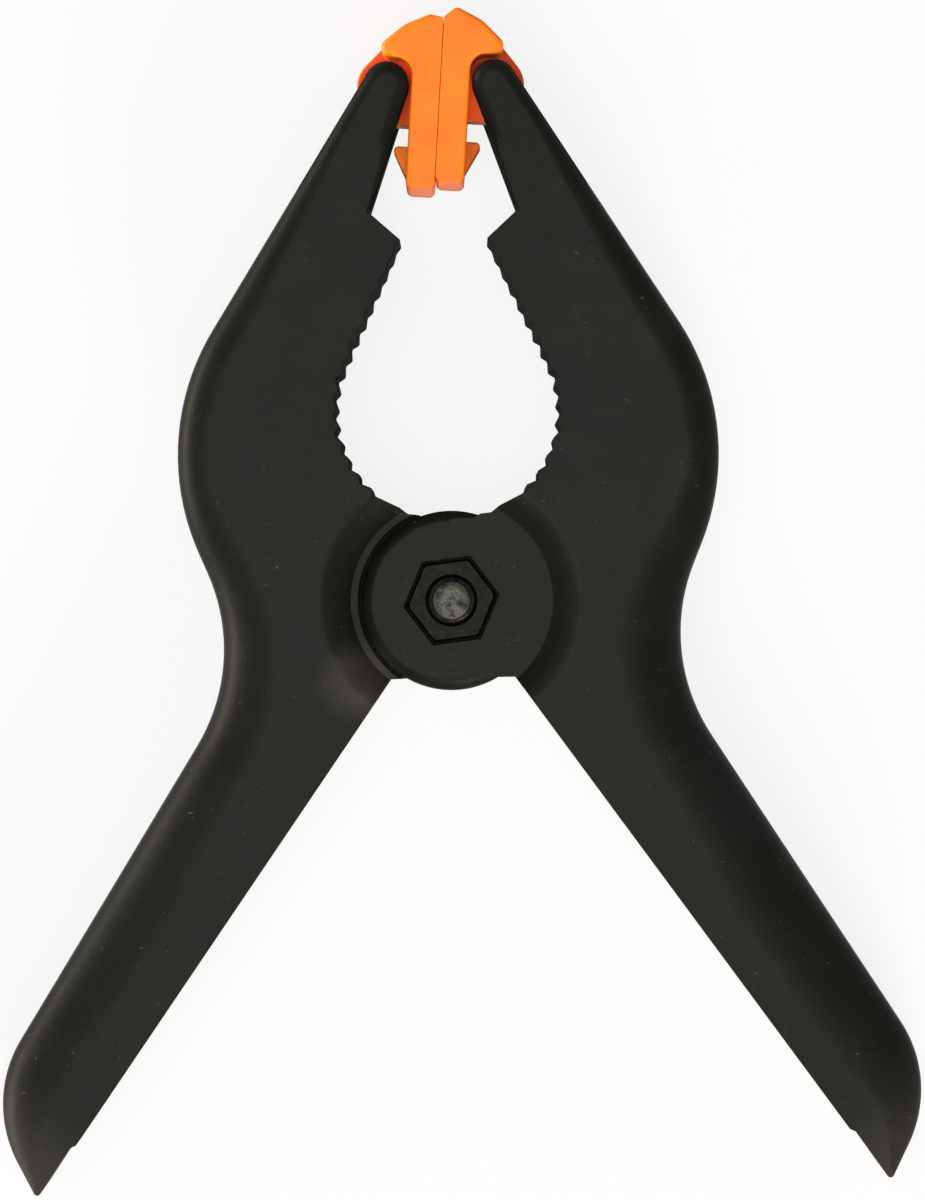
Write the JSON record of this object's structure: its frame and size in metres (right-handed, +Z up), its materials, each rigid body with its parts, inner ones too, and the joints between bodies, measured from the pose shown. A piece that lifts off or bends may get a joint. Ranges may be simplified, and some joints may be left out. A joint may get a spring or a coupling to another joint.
{
  "type": "spring clamp with swivel pads",
  "caption": "Hand spring clamp of black moulded plastic with a toothed throat, swivelling orange pads and a sprung pivot, for holding tarpaulins and glued work.",
  "frame": {"origin": "on the pivot axis, level with the lowest side face on which the clamp lies", "axes": "+Y from the handles to the jaws, +X to the right lever, +Z up along the pivot bolt towards the nut"},
  "size_m": [0.1178, 0.151, 0.03],
  "materials": {
    "black_plastic": "satin moulded nylon with a fine grain",
    "orange_plastic": "soft satin moulded plastic",
    "bright_steel": "bright drawn and turned steel",
    "dark_steel": "dull dark steel"
  },
  "bodies": {
    "right": {"lever_right": "black_plastic", "pivot_nut": "dark_steel", "torsion_spring": "bright_steel"},
    "left": {"lever_left": "black_plastic", "pivot_bolt": "bright_steel"},
    "right_pad": {"pad_right": "orange_plastic"},
    "left_pad": {"pad_left": "orange_plastic"}
  },
  "joints": [
    {"name": "main_hinge", "type": "hinge", "parent": "right", "child": "left", "pos_m": [0, 0, 0], "axis": [0, 0, 1], "range_deg": [0, 40], "stiffness_Nm_per_rad": 1.1, "springref_deg": -40.11, "deforming": ["torsion_spring"]},
    {"name": "right_pad_swivel", "type": "hinge", "parent": "right", "child": "right_pad", "pos_m": [0.0069, 0.0664, 0], "axis": [0, 0, 1], "range_deg": [0, 25]},
    {"name": "left_pad_swivel", "type": "hinge", "parent": "left", "child": "left_pad", "pos_m": [-0.0069, 0.0664, 0], "axis": [0, 0, 1], "range_deg": [-16, 0]}
  ],
  "couplings": [
    {"joint": "right_pad_swivel", "follows": "main_hinge", "ratio": 0.61},
    {"joint": "left_pad_swivel", "follows": "main_hinge", "ratio": -0.39}
  ]
}
